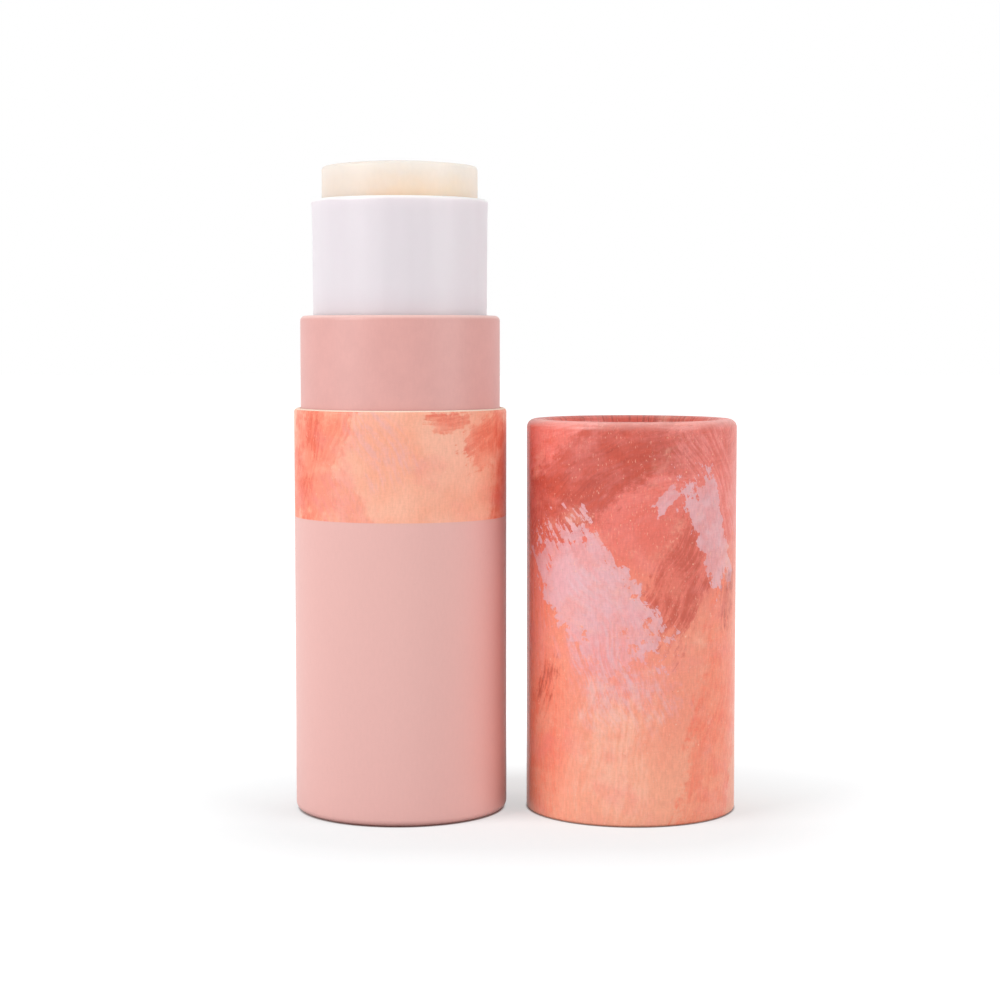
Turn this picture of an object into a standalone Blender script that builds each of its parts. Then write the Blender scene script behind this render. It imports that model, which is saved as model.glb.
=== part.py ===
"""Twist-up lip balm stick in a paper tube, with its cap standing beside it.

Units are metres and +Z is up. The origin is on the surface that both stand on, midway along the pair.
The base tube holds a plastic screw. Turning the barrel in the base winds a keyed carrier up the screw,
and the carrier lifts the balm.
"""

import math

import bmesh
import bpy

MM = 0.001

# Heights that drive the design
BASE_HEIGHT = 51.3 * MM
NECK_RISE = 11.65 * MM
BARREL_RISE = 14.55 * MM
BALM_RISE = 4.6 * MM
CAP_HEIGHT = 49.9 * MM
STAND_APART = 2.6 * MM

# Fits between pieces
GLUE_GAP = 0.03 * MM
SEAT_GAP = 0.3 * MM
CUT_OVERRUN = 1.0 * MM
JOIN_OVERLAP = 0.25 * MM

# Balm
BALM_RADIUS = 9.85 * MM
BALM_GAP = 0.10 * MM
BALM_EDGE_ROUND = 0.5 * MM
BALM_CROWN_RISE = 0.5 * MM
BALM_OVER_SPINDLE = 6.0 * MM
BALM_BORE_GAP = 0.4 * MM

# Screw thread
THREAD_LEAD = 5.0 * MM
THREAD_DEPTH = 0.7 * MM
THREAD_ROOT_WIDTH = 1.8 * MM
THREAD_CREST_WIDTH = 0.9 * MM
THREAD_GAP = 0.15 * MM
SPINDLE_CORE_RADIUS = 2.3 * MM
SPINDLE_NOSE_CHAMFER = 0.6 * MM
TURNS_BELOW_REST = 1
TURNS_ABOVE_REST = 9

# Dial at the foot of the screw
DIAL_HEIGHT = 5.5 * MM
DIAL_FLOOR = 1.2 * MM
DIAL_WALL = 1.0 * MM
DIAL_HUB_RADIUS = 5.0 * MM
DIAL_RIB_COUNT = 8
DIAL_RIB_THICKNESS = 0.9 * MM
DIAL_RIB_DROP = 0.8 * MM
JOURNAL_STEP = 0.2 * MM
JOURNAL_GAP = 0.15 * MM
BEAD_GRIP = 0.4 * MM
BEAD_HEIGHT = 1.0 * MM
BEAD_LAND = 0.3 * MM

# Barrel
BARREL_WALL = 1.05 * MM
BARREL_FLOOR = 1.2 * MM
BARREL_FLANGE = 1.0 * MM
BARREL_DRAFT = 0.09 * MM
BARREL_FLARE = 0.08 * MM
BARREL_FLARE_HEIGHT = 3.2 * MM
BARREL_RIM_ROUND = 0.45 * MM
TURNING_GAP = 0.3 * MM
KEY_COUNT = 2
KEY_WIDTH = 0.9 * MM
KEY_DEPTH = 0.4 * MM
KEY_GAP = 0.12 * MM
KEY_BELOW_RIM = 8.0 * MM
SNAP_SLOT_COUNT = 4
SNAP_SLOT_WIDTH = 0.6 * MM
SNAP_SLOT_REACH = 2.6 * MM

# Carrier
CARRIER_GAP = 0.08 * MM
CARRIER_HEIGHT = 7.5 * MM
CARRIER_SKIRT = 1.0 * MM
CARRIER_PLATE = 1.0 * MM
CARRIER_PLATE_RISE = 3.0 * MM
CARRIER_BOSS_WALL = 1.3 * MM
CARRIER_BOSS_DROP = 1.0 * MM
CARRIER_FIN_COUNT = 4
CARRIER_FIN_THICKNESS = 0.8 * MM
CARRIER_FIN_HEIGHT = 2.0 * MM

# Neck
NECK_BOARD = 1.44 * MM
NECK_PAPER = 0.15 * MM
NECK_EDGE_ROUND = 0.65 * MM
NECK_PAPER_INSET = 0.15 * MM

# Base tube
BASE_RUNNING_GAP = 0.15 * MM
BASE_BOARD = 0.52 * MM
BASE_PAPER = 0.15 * MM
BASE_EDGE_ROUND = 0.5 * MM
BASE_CURL_BEND = 0.25 * MM
BASE_FOOT_WIDTH = 0.6 * MM

# Cap
CAP_RUNNING_GAP = 0.10 * MM
CAP_BOARD = 0.26 * MM
CAP_PAPER = 0.14 * MM
CAP_EDGE_ROUND = 0.2 * MM
CAP_CURL_BEND = 0.62 * MM
CAP_FOOT_WIDTH = 0.6 * MM

# End discs
END_BOARD = 1.0 * MM
END_PAPER = 0.15 * MM
END_EDGE_GAP = 0.1 * MM

# Facets. Hidden and glued faces take fewer steps than those that show
TUBE_SEGMENTS = 36
THREAD_SEGMENTS = 16
ROUND_STEPS = 3
ROLL_STEPS = 5
HIDDEN_STEPS = 2
MERGE_DISTANCE = 0.001 * MM
SHARP_ANGLE = math.radians(30)

# Radii, from the balm outwards
barrel_bore = BALM_RADIUS + BALM_GAP
barrel_radius = barrel_bore + BARREL_WALL
barrel_rim_radius = barrel_radius + BARREL_DRAFT + BARREL_FLARE
neck_board_inner = barrel_radius + GLUE_GAP
neck_board_outer = neck_board_inner + NECK_BOARD
neck_paper_inner = neck_board_outer + GLUE_GAP
neck_radius = neck_paper_inner + NECK_PAPER
base_bore = neck_radius + BASE_RUNNING_GAP
base_wall = BASE_BOARD + GLUE_GAP + BASE_PAPER
base_radius = base_bore + base_wall
cap_bore = neck_radius + CAP_RUNNING_GAP
cap_board_inner = cap_bore + CAP_PAPER + GLUE_GAP
cap_board_outer = cap_board_inner + CAP_BOARD
cap_paper_inner = cap_board_outer + GLUE_GAP
cap_radius = cap_paper_inner + CAP_PAPER

# Where the two axes stand
axis_spacing = base_radius + STAND_APART + cap_radius
base_axis_x = base_radius - (base_radius + axis_spacing + cap_radius) / 2
cap_axis_x = base_axis_x + axis_spacing

# Heights of the base's inside, from the foot up
base_curl_radius = BASE_CURL_BEND + base_wall
base_end_bottom = base_curl_radius + SEAT_GAP
dial_bottom = base_end_bottom + END_PAPER + GLUE_GAP + END_BOARD + SEAT_GAP
dial_floor_top = dial_bottom + DIAL_FLOOR
dial_top = dial_bottom + DIAL_HEIGHT
barrel_bottom = dial_top + TURNING_GAP
flange_top = barrel_bottom + BARREL_FLANGE
floor_top = barrel_bottom + BARREL_FLOOR
neck_bottom = flange_top + SEAT_GAP
neck_top = BASE_HEIGHT + NECK_RISE
barrel_top = neck_top + BARREL_RISE
balm_top = barrel_top + BALM_RISE
key_top = barrel_top - KEY_BELOW_RIM

# Travel of the carrier, and its place at rest
travel_down = TURNS_BELOW_REST * THREAD_LEAD
travel_up = TURNS_ABOVE_REST * THREAD_LEAD
carrier_bottom = floor_top + SEAT_GAP + travel_down
carrier_top = carrier_bottom + CARRIER_HEIGHT
plate_bottom = carrier_bottom + CARRIER_PLATE_RISE
plate_top = plate_bottom + CARRIER_PLATE

# Screw
thread_radius = SPINDLE_CORE_RADIUS + THREAD_DEPTH
journal_radius = thread_radius + JOURNAL_STEP
snap_hole_radius = journal_radius + JOURNAL_GAP
bead_radius = snap_hole_radius + BEAD_GRIP
bead_bottom = floor_top + JOURNAL_GAP
bead_top = bead_bottom + BEAD_HEIGHT
spindle_top = balm_top - BALM_OVER_SPINDLE - BALM_BORE_GAP - travel_down
thread_bottom = bead_top + SEAT_GAP
thread_room = spindle_top - SPINDLE_NOSE_CHAMFER - THREAD_ROOT_WIDTH - thread_bottom
thread_turns = int(thread_room / THREAD_LEAD)

# The core and the bore are turned by half a facet, so that the ridge's edges cross their faces cleanly
half_facet = math.pi / THREAD_SEGMENTS

# Carrier's boss and skirt
boss_bottom = bead_top + SEAT_GAP + travel_down
boss_top = carrier_top - CARRIER_BOSS_DROP
boss_bore = SPINDLE_CORE_RADIUS + THREAD_GAP
boss_radius = thread_radius + THREAD_GAP + CARRIER_BOSS_WALL
carrier_radius = barrel_bore - CARRIER_GAP
skirt_inner = carrier_radius - CARRIER_SKIRT

# Balm's inside
balm_shoulder = carrier_top + SEAT_GAP
balm_foot_radius = skirt_inner - SEAT_GAP
balm_foot_bottom = plate_top + SEAT_GAP
balm_bore = thread_radius + BALM_BORE_GAP
balm_bore_top = spindle_top + travel_down + BALM_BORE_GAP

# Cap's closed end, from its rolled edge down
cap_wall = cap_radius - cap_board_inner
cap_curl_radius = CAP_CURL_BEND + cap_wall
cap_end_top = CAP_HEIGHT - cap_curl_radius - GLUE_GAP
cap_disc_bottom = cap_end_top - END_PAPER - GLUE_GAP - END_BOARD


def linear(share, start, end):
    return start + share * (end - start)


def arc(centre, radii, start, end, steps=ROUND_STEPS):
    """Points (radius, height) along an arc or ellipse, with angles in degrees from straight out."""
    angles = [math.radians(linear(step / steps, start, end)) for step in range(steps + 1)]
    return [(centre[0] + radii[0] * math.cos(a), centre[1] + radii[1] * math.sin(a)) for a in angles]


def new_object(name, mesh, collection, parent):
    item = bpy.data.objects.new(name, mesh)
    collection.objects.link(item)
    item.parent = parent
    return item


def mesh_from(name, work):
    mesh = bpy.data.meshes.new(name)
    work.to_mesh(mesh)
    work.free()
    return mesh


def profile_mesh(name, points, closed):
    work = bmesh.new()
    verts = [work.verts.new((radius, 0, height)) for radius, height in points]
    for first, second in zip(verts, verts[1:] + verts[:1]):
        if closed or second is not verts[0]:
            work.edges.new((first, second))
    return mesh_from(name, work)


def add_screw(item, segments):
    screw = item.modifiers.new("Turn", "SCREW")
    screw.steps = segments
    screw.render_steps = segments
    screw.use_merge_vertices = True
    screw.merge_threshold = MERGE_DISTANCE
    return screw


def turned(name, points, collection, parent, closed=True, segments=TUBE_SEGMENTS):
    """A profile turned about the parent's axis. It runs down its outer side, from the top to the bottom."""
    item = new_object(name, profile_mesh(name, points, closed), collection, parent)
    add_screw(item, segments)
    return item


def apply_modifiers(item):
    bpy.context.view_layer.update()
    graph = bpy.context.evaluated_depsgraph_get()
    mesh = bpy.data.meshes.new_from_object(item.evaluated_get(graph))
    old = item.data
    item.modifiers.clear()
    item.data = mesh
    bpy.data.meshes.remove(old)
    mesh.name = item.name


def thread_ridge(name, gap, bottom, turns, collection, parent):
    """A helical ridge about the parent's axis, made larger by gap on every side, with its ends closed."""
    inner = SPINDLE_CORE_RADIUS - JOIN_OVERLAP
    crest = THREAD_CREST_WIDTH / 2 + gap
    root = THREAD_ROOT_WIDTH / 2 + gap
    outer = thread_radius + gap
    low = bottom + root
    points = [(outer, low + crest), (outer, low - crest), (inner, low - root), (inner, low + root)]
    item = new_object(name, profile_mesh(name, points, True), collection, parent)
    screw = add_screw(item, THREAD_SEGMENTS)
    screw.screw_offset = THREAD_LEAD
    screw.iterations = turns
    apply_modifiers(item)
    work = bmesh.new()
    work.from_mesh(item.data)
    bmesh.ops.holes_fill(work, edges=[edge for edge in work.edges if edge.is_boundary], sides=len(points))
    bmesh.ops.recalc_face_normals(work, faces=work.faces)
    work.to_mesh(item.data)
    work.free()
    return item


def radial_bar(name, inner, outer, width, bottom, top, turn, collection, parent):
    """An upright bar that reaches from one radius to another, turned about the parent's axis."""
    work = bmesh.new()
    bmesh.ops.create_cube(work, size=1)
    bmesh.ops.scale(work, vec=(outer - inner, width, top - bottom), verts=work.verts)
    bmesh.ops.translate(work, vec=((inner + outer) / 2, 0, (bottom + top) / 2), verts=work.verts)
    item = new_object(name, mesh_from(name, work), collection, parent)
    item.rotation_euler.z = turn
    return item


def radial_bars(name, count, inner, outer, width, bottom, top, collection, parent):
    turns = [2 * math.pi * index / count for index in range(count)]
    return [
        radial_bar(f"{name}_{index + 1}", inner, outer, width, bottom, top, turn, collection, parent)
        for index, turn in enumerate(turns)
    ]


def combine(item, tools, operation):
    for tool in tools:
        boolean = item.modifiers.new(tool.name, "BOOLEAN")
        boolean.operation = operation
        boolean.object = tool


def material(name, colour, roughness, metallic=0.0, alpha=1.0, subsurface=0.0):
    made = bpy.data.materials.new(name)
    made.use_nodes = True
    shader = made.node_tree.nodes["Principled BSDF"]
    shader.inputs["Base Color"].default_value = (*colour, 1)
    shader.inputs["Roughness"].default_value = roughness
    shader.inputs["Metallic"].default_value = metallic
    shader.inputs["Alpha"].default_value = alpha
    shader.inputs["Subsurface Weight"].default_value = subsurface
    made.diffuse_color = (*colour, alpha)
    return made


def curled_layer(curl, outer_depth, inner_depth, top_points, outside_steps):
    """One layer of a tube whose foot curls in and up again. Depths are measured in from the outer face.

    curl holds the tube's radius, the curl's own and the width of its foot. top_points closes the layer at
    its upper end, from its inner face round to its outer face.
    """
    radius, bend, foot_width = curl
    outer_bend = (radius - bend, bend)
    inner_bend = (radius - bend - foot_width, bend)
    outside = [bend - outer_depth] * 2
    inside = [bend - inner_depth] * 2
    down = arc(outer_bend, outside, 0, -90, outside_steps)
    under = arc(inner_bend, outside, -90, -180, outside_steps)
    back = arc(inner_bend, inside, -180, -90, HIDDEN_STEPS)
    up = arc(outer_bend, inside, -90, 0, HIDDEN_STEPS)
    return top_points + down + under + back + up


def end_disc(name, radius, bottom, thickness, collection, parent):
    points = [(0, bottom + thickness), (radius, bottom + thickness), (radius, bottom), (0, bottom)]
    return turned(name, points, collection, parent, closed=False)


def rolled_tube(size, edge_round, curl_radius, foot_width, paper_depth):
    """Profiles of a tube's printed paper and of its board, cut off at the top and rolled in at the foot.

    size holds the tube's radius, height and wall.
    """
    radius, height, wall = size
    board_depth = paper_depth + GLUE_GAP
    edge_centre = (radius - edge_round, height - edge_round)
    edge_radii = (edge_round, edge_round)
    paper_angle = math.degrees(math.acos(max(0, 1 - paper_depth / edge_round)))
    board_angle = math.degrees(math.acos(max(0, 1 - board_depth / edge_round)))
    paper_edge = arc(edge_centre, edge_radii, paper_angle, 0)
    board_edge = [(radius - wall, height)] + arc(edge_centre, edge_radii, 90, board_angle)
    curl = (radius, curl_radius, foot_width)
    paper = curled_layer(curl, 0, paper_depth, paper_edge, ROLL_STEPS)
    board = curled_layer(curl, board_depth, wall, board_edge, HIDDEN_STEPS)
    return paper, board


def make_base(parts, body):
    """The paper tube, its printed wrap and the disc that the rolled foot holds."""
    base_size = (base_radius, BASE_HEIGHT, base_wall)
    rolled_foot = (BASE_EDGE_ROUND, base_curl_radius, BASE_FOOT_WIDTH)
    paper, board = rolled_tube(base_size, *rolled_foot, BASE_PAPER)
    wrap = turned("base_wrap", paper, parts, body)
    tube = turned("base_tube", board, parts, body)
    disc_radius = base_bore - END_EDGE_GAP
    disc_bottom = base_end_bottom + END_PAPER + GLUE_GAP
    facing = end_disc("base_end_paper", disc_radius, base_end_bottom, END_PAPER, parts, body)
    disc = end_disc("base_end_disc", disc_radius, disc_bottom, END_BOARD, parts, body)
    return wrap, tube, disc, facing


def make_drive_screw(parts, cutters, body):
    """The dial glued into the base tube, with the snap bead and the threaded spindle above it."""
    dial_radius = base_bore - GLUE_GAP
    dial_inner = dial_radius - DIAL_WALL
    dial_points = [
        (0, bead_top),
        (journal_radius, bead_top),
        (bead_radius, bead_bottom + BEAD_LAND),
        (bead_radius, bead_bottom),
        (journal_radius, bead_bottom),
        (journal_radius, dial_top),
        (DIAL_HUB_RADIUS, dial_top),
        (DIAL_HUB_RADIUS, dial_floor_top),
        (dial_inner, dial_floor_top),
        (dial_inner, dial_top),
        (dial_radius, dial_top),
        (dial_radius, dial_bottom),
        (0, dial_bottom),
    ]
    screw = turned("drive_screw", dial_points, parts, body, closed=False)
    rib_inner = DIAL_HUB_RADIUS - JOIN_OVERLAP
    rib_outer = dial_inner + JOIN_OVERLAP
    rib_bottom = dial_floor_top - JOIN_OVERLAP
    rib_top = dial_top - DIAL_RIB_DROP
    rib_size = (rib_inner, rib_outer, DIAL_RIB_THICKNESS, rib_bottom, rib_top)
    ribs = radial_bars("dial_rib", DIAL_RIB_COUNT, *rib_size, cutters, body)
    nose_radius = SPINDLE_CORE_RADIUS - SPINDLE_NOSE_CHAMFER / 2
    core_points = [
        (0, spindle_top),
        (nose_radius, spindle_top),
        (SPINDLE_CORE_RADIUS, spindle_top - SPINDLE_NOSE_CHAMFER),
        (SPINDLE_CORE_RADIUS, dial_top),
        (0, dial_top),
    ]
    core = turned("spindle_core", core_points, cutters, body, closed=False, segments=THREAD_SEGMENTS)
    core.rotation_euler.z = half_facet
    ridge = thread_ridge("spindle_ridge", 0, thread_bottom, thread_turns, cutters, body)
    combine(screw, ribs + [core, ridge], "UNION")
    return screw


def make_barrel(parts, cutters, body):
    """The plastic barrel: flange and snap floor below, two key ribs up the bore and a flared rim."""
    flare_bottom = barrel_top - BARREL_FLARE_HEIGHT
    rim_radii = (BARREL_RIM_ROUND, BARREL_RIM_ROUND)
    outer_centre = (barrel_rim_radius - BARREL_RIM_ROUND, barrel_top - BARREL_RIM_ROUND)
    inner_centre = (barrel_bore + BARREL_RIM_ROUND, barrel_top - BARREL_RIM_ROUND)
    points = [
        *arc(inner_centre, rim_radii, 180, 90),
        *arc(outer_centre, rim_radii, 90, 0),
        (barrel_radius + BARREL_DRAFT, flare_bottom),
        (barrel_radius, neck_top),
        (barrel_radius, flange_top),
        (neck_radius, flange_top),
        (neck_radius, barrel_bottom),
        (snap_hole_radius, barrel_bottom),
        (snap_hole_radius, floor_top),
        (barrel_bore, floor_top),
    ]
    barrel = turned("barrel", points, parts, body)
    key_inner = barrel_bore - KEY_DEPTH
    key_outer = barrel_bore + JOIN_OVERLAP
    key_size = (key_inner, key_outer, KEY_WIDTH, floor_top - JOIN_OVERLAP, key_top)
    keys = radial_bars("barrel_key", KEY_COUNT, *key_size, cutters, body)
    slot_outer = snap_hole_radius + SNAP_SLOT_REACH
    slot_bottom = barrel_bottom - CUT_OVERRUN
    slot_top = floor_top + CUT_OVERRUN
    slot_size = (journal_radius, slot_outer, SNAP_SLOT_WIDTH, slot_bottom, slot_top)
    slots = radial_bars("snap_slot", SNAP_SLOT_COUNT, *slot_size, cutters, body)
    combine(barrel, keys, "UNION")
    combine(barrel, slots, "DIFFERENCE")
    return barrel


def make_neck(parts, body):
    """The thick paper tube on the barrel, and the paper turned over its top edge."""
    paper_depth = NECK_PAPER + GLUE_GAP
    edge_centre = (neck_radius - NECK_EDGE_ROUND, neck_top - NECK_EDGE_ROUND)
    outer_edge = arc(edge_centre, [NECK_EDGE_ROUND] * 2, 90, 0)
    middle_edge = arc(edge_centre, [NECK_EDGE_ROUND - NECK_PAPER] * 2, 0, 90, HIDDEN_STEPS)
    board_edge = arc(edge_centre, [NECK_EDGE_ROUND - paper_depth] * 2, 90, 0, HIDDEN_STEPS)
    paper_end = barrel_radius + NECK_PAPER_INSET
    board = [
        (neck_board_inner, neck_top - paper_depth),
        *board_edge,
        (neck_board_outer, neck_bottom),
        (neck_board_inner, neck_bottom),
    ]
    paper = [
        (paper_end, neck_top),
        *outer_edge,
        (neck_radius, neck_bottom),
        (neck_paper_inner, neck_bottom),
        *middle_edge,
        (paper_end, neck_top - NECK_PAPER),
    ]
    return turned("neck_tube", board, parts, body), turned("neck_wrap", paper, parts, body)


def make_carrier(parts, cutters, body):
    """The keyed carrier: a cup for the balm's foot round a boss with an internal thread."""
    points = [
        (0, boss_top),
        (boss_radius, boss_top),
        (boss_radius, plate_top),
        (skirt_inner, plate_top),
        (skirt_inner, carrier_top),
        (carrier_radius, carrier_top),
        (carrier_radius, carrier_bottom),
        (skirt_inner, carrier_bottom),
        (skirt_inner, plate_bottom),
        (boss_radius, plate_bottom),
        (boss_radius, boss_bottom),
        (0, boss_bottom),
    ]
    carrier = turned("elevator", points, parts, body, closed=False)
    fin_inner = boss_radius - JOIN_OVERLAP
    fin_outer = skirt_inner + JOIN_OVERLAP
    fin_bottom = plate_top - JOIN_OVERLAP
    fin_top = plate_top + CARRIER_FIN_HEIGHT
    fin_size = (fin_inner, fin_outer, CARRIER_FIN_THICKNESS, fin_bottom, fin_top)
    fins = radial_bars("carrier_fin", CARRIER_FIN_COUNT, *fin_size, cutters, body)
    notch_inner = barrel_bore - KEY_DEPTH - KEY_GAP
    notch_outer = carrier_radius + CUT_OVERRUN
    notch_bottom = carrier_bottom - CUT_OVERRUN
    notch_top = carrier_top + CUT_OVERRUN
    notch_size = (notch_inner, notch_outer, KEY_WIDTH + 2 * KEY_GAP, notch_bottom, notch_top)
    notches = radial_bars("carrier_notch", KEY_COUNT, *notch_size, cutters, body)
    turns_up = math.floor((boss_bottom - THREAD_ROOT_WIDTH - thread_bottom) / THREAD_LEAD)
    groove_bottom = thread_bottom + turns_up * THREAD_LEAD
    groove_turns = math.ceil((boss_top - groove_bottom) / THREAD_LEAD) + 1
    groove_size = (THREAD_GAP, groove_bottom - THREAD_GAP, groove_turns)
    groove = thread_ridge("carrier_thread", *groove_size, cutters, body)
    bore_top = boss_top + CUT_OVERRUN
    bore_bottom = boss_bottom - CUT_OVERRUN
    bore_points = [(0, bore_top), (boss_bore, bore_top), (boss_bore, bore_bottom), (0, bore_bottom)]
    bore = turned("carrier_bore", bore_points, cutters, body, closed=False, segments=THREAD_SEGMENTS)
    bore.rotation_euler.z = half_facet
    combine(carrier, fins, "UNION")
    combine(carrier, notches + [bore, groove], "DIFFERENCE")
    return carrier


def make_balm(parts, cutters, body):
    """The balm, cast round the spindle and the carrier's fins, with a groove over each key rib."""
    edge_centre = (BALM_RADIUS - BALM_EDGE_ROUND, balm_top - BALM_CROWN_RISE - BALM_EDGE_ROUND)
    points = [
        (0, balm_top),
        *arc(edge_centre, [BALM_EDGE_ROUND] * 2, 90, 0),
        (BALM_RADIUS, balm_shoulder),
        (balm_foot_radius, balm_shoulder),
        (balm_foot_radius, balm_foot_bottom),
        (boss_radius + SEAT_GAP, balm_foot_bottom),
        (boss_radius + SEAT_GAP, boss_top + SEAT_GAP),
        (balm_bore, boss_top + SEAT_GAP),
        (balm_bore, balm_bore_top),
        (0, balm_bore_top),
    ]
    balm = turned("balm", points, parts, body, closed=False)
    groove_inner = barrel_bore - KEY_DEPTH - KEY_GAP
    groove_outer = BALM_RADIUS + CUT_OVERRUN
    groove_bottom = balm_shoulder - CUT_OVERRUN
    groove_top = key_top + travel_down + SEAT_GAP
    groove_size = (groove_inner, groove_outer, KEY_WIDTH + 2 * KEY_GAP, groove_bottom, groove_top)
    grooves = radial_bars("balm_groove", KEY_COUNT, *groove_size, cutters, body)
    slot_inner = boss_radius
    slot_outer = skirt_inner
    slot_bottom = balm_foot_bottom - CUT_OVERRUN
    slot_top = plate_top + CARRIER_FIN_HEIGHT + SEAT_GAP
    slot_size = (slot_inner, slot_outer, CARRIER_FIN_THICKNESS + 2 * SEAT_GAP, slot_bottom, slot_top)
    slots = radial_bars("balm_slot", CARRIER_FIN_COUNT, *slot_size, cutters, body)
    combine(balm, grooves + slots, "DIFFERENCE")
    return balm


def upended(points):
    """A profile stood on its head within the cap's height, and still listed from its top."""
    return [(radius, CAP_HEIGHT - height) for radius, height in reversed(points)]


def make_cap(parts, body):
    """The cap's paper tube with its mouth down, its print, its lining and its closed end."""
    cap_size = (cap_radius, CAP_HEIGHT, cap_wall)
    rolled_end = (CAP_EDGE_ROUND, cap_curl_radius, CAP_FOOT_WIDTH)
    paper, board = rolled_tube(cap_size, *rolled_end, CAP_PAPER)
    wrap = turned("cap_wrap", upended(paper), parts, body)
    tube = turned("cap_tube", upended(board), parts, body)
    disc_radius = cap_board_inner - END_EDGE_GAP
    paper_bottom = cap_end_top - END_PAPER
    facing = end_disc("cap_end_paper", disc_radius, paper_bottom, END_PAPER, parts, body)
    disc = end_disc("cap_end_disc", disc_radius, cap_disc_bottom, END_BOARD, parts, body)
    liner_top = cap_disc_bottom - SEAT_GAP
    liner_bottom = SEAT_GAP
    liner_outer = cap_bore + CAP_PAPER
    liner_points = [
        (cap_bore, liner_top),
        (liner_outer, liner_top),
        (liner_outer, liner_bottom),
        (cap_bore, liner_bottom),
    ]
    liner = turned("cap_liner", liner_points, parts, body)
    return wrap, tube, disc, facing, liner


def finish(item, made):
    apply_modifiers(item)
    item.data.shade_smooth()
    item.data.set_sharp_from_angle(angle=SHARP_ANGLE)
    item.data.materials.clear()
    item.data.materials.append(made)


def body_empty(name, axis_x, collection, parent=None):
    """An empty on the body's turning or sliding axis, which carries its pieces."""
    empty = new_object(name, None, collection, parent)
    empty.location.x = axis_x
    empty.empty_display_size = CAP_HEIGHT
    return empty


def clear_scene():
    for item in list(bpy.data.objects):
        bpy.data.objects.remove(item, do_unlink=True)


def new_collection(name):
    made = bpy.data.collections.new(name)
    bpy.context.scene.collection.children.link(made)
    return made


def main():
    clear_scene()
    parts = new_collection("lip_balm_stick")
    cutters = new_collection("cutters")
    base_body = body_empty("base_body", base_axis_x, parts)
    barrel_body = body_empty("barrel_body", 0, parts, base_body)
    elevator_body = body_empty("elevator_body", 0, parts, barrel_body)
    cap_body = body_empty("cap_body", cap_axis_x, parts)

    base_wrap, base_tube, base_disc, base_paper = make_base(parts, base_body)
    screw = make_drive_screw(parts, cutters, base_body)
    barrel = make_barrel(parts, cutters, barrel_body)
    neck_tube, neck_wrap = make_neck(parts, barrel_body)
    carrier = make_carrier(parts, cutters, elevator_body)
    balm = make_balm(parts, cutters, elevator_body)
    cap_wrap, cap_tube, cap_disc, cap_paper, cap_liner = make_cap(parts, cap_body)

    pink_paper = material("pink paper", (0.74, 0.47, 0.44), 0.6)
    painted_paper = material("painted paper", (0.83, 0.38, 0.28), 0.5)
    cream_board = material("cream board", (0.80, 0.68, 0.55), 0.8)
    plain_paper = material("plain paper", (0.84, 0.78, 0.70), 0.75)
    screw_plastic = material("white moulded plastic", (0.82, 0.80, 0.80), 0.4)
    barrel_plastic = material("translucent plastic", (0.80, 0.76, 0.80), 0.3, subsurface=0.3)
    balm_wax = material("balm", (0.88, 0.79, 0.66), 0.45, subsurface=0.5)

    finishes = (
        (base_wrap, pink_paper),
        (base_tube, cream_board),
        (base_disc, cream_board),
        (base_paper, pink_paper),
        (screw, screw_plastic),
        (barrel, barrel_plastic),
        (neck_tube, cream_board),
        (neck_wrap, pink_paper),
        (carrier, screw_plastic),
        (balm, balm_wax),
        (cap_wrap, painted_paper),
        (cap_tube, cream_board),
        (cap_disc, cream_board),
        (cap_paper, painted_paper),
        (cap_liner, plain_paper),
    )
    for item, made in finishes:
        finish(item, made)
    for tool in cutters.objects:
        tool.hide_render = True
        tool.display_type = "WIRE"


main()
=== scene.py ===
"""Lip balm stick with its cap standing beside it: the finish of every piece, on a plain pale floor.

Lengths are in metres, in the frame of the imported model. Prints and grains are laid out in
millimetres.
"""

import math

import bmesh
import bpy
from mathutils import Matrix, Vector, noise


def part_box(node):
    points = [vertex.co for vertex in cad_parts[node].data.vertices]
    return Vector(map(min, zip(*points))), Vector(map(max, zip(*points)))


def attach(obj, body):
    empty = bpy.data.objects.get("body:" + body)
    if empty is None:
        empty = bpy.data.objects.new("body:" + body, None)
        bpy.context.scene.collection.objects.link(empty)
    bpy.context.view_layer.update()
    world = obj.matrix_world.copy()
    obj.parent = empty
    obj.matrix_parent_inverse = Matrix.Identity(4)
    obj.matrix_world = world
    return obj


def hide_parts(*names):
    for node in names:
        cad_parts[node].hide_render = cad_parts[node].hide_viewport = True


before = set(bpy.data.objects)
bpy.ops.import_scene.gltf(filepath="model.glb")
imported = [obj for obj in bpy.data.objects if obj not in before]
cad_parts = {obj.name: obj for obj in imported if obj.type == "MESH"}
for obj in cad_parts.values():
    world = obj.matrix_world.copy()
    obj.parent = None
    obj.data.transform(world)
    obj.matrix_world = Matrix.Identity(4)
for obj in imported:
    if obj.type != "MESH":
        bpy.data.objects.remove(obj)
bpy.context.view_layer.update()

MM = 0.001

# How finely round pieces are made
RING_STEPS = 180
ARC_STEPS = 8
MERGE_DISTANCE = 0.0001 * MM
SHARP_ANGLE = math.radians(32)

# A sharp step in a turned piece, taken round it or up it in this little
STEP_TURN = math.radians(0.05)
STEP_HEIGHT = 0.00087 * MM

# Walls and gaps, as in the solids
GLUE_GAP = 0.03 * MM
BASE_WALL = 0.70 * MM
BASE_PAPER = 0.15 * MM
BASE_EDGE_ROUND = 0.5 * MM
BASE_CURL = 0.95 * MM
CAP_WALL = 0.43 * MM
CAP_PAPER = 0.14 * MM
CAP_EDGE_ROUND = 0.4 * MM
CAP_CURL = 1.05 * MM
FOOT_WIDTH = 0.6 * MM
NECK_PAPER = 0.15 * MM
NECK_EDGE_ROUND = 0.65 * MM
NECK_PAPER_INSET = 0.15 * MM

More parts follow.
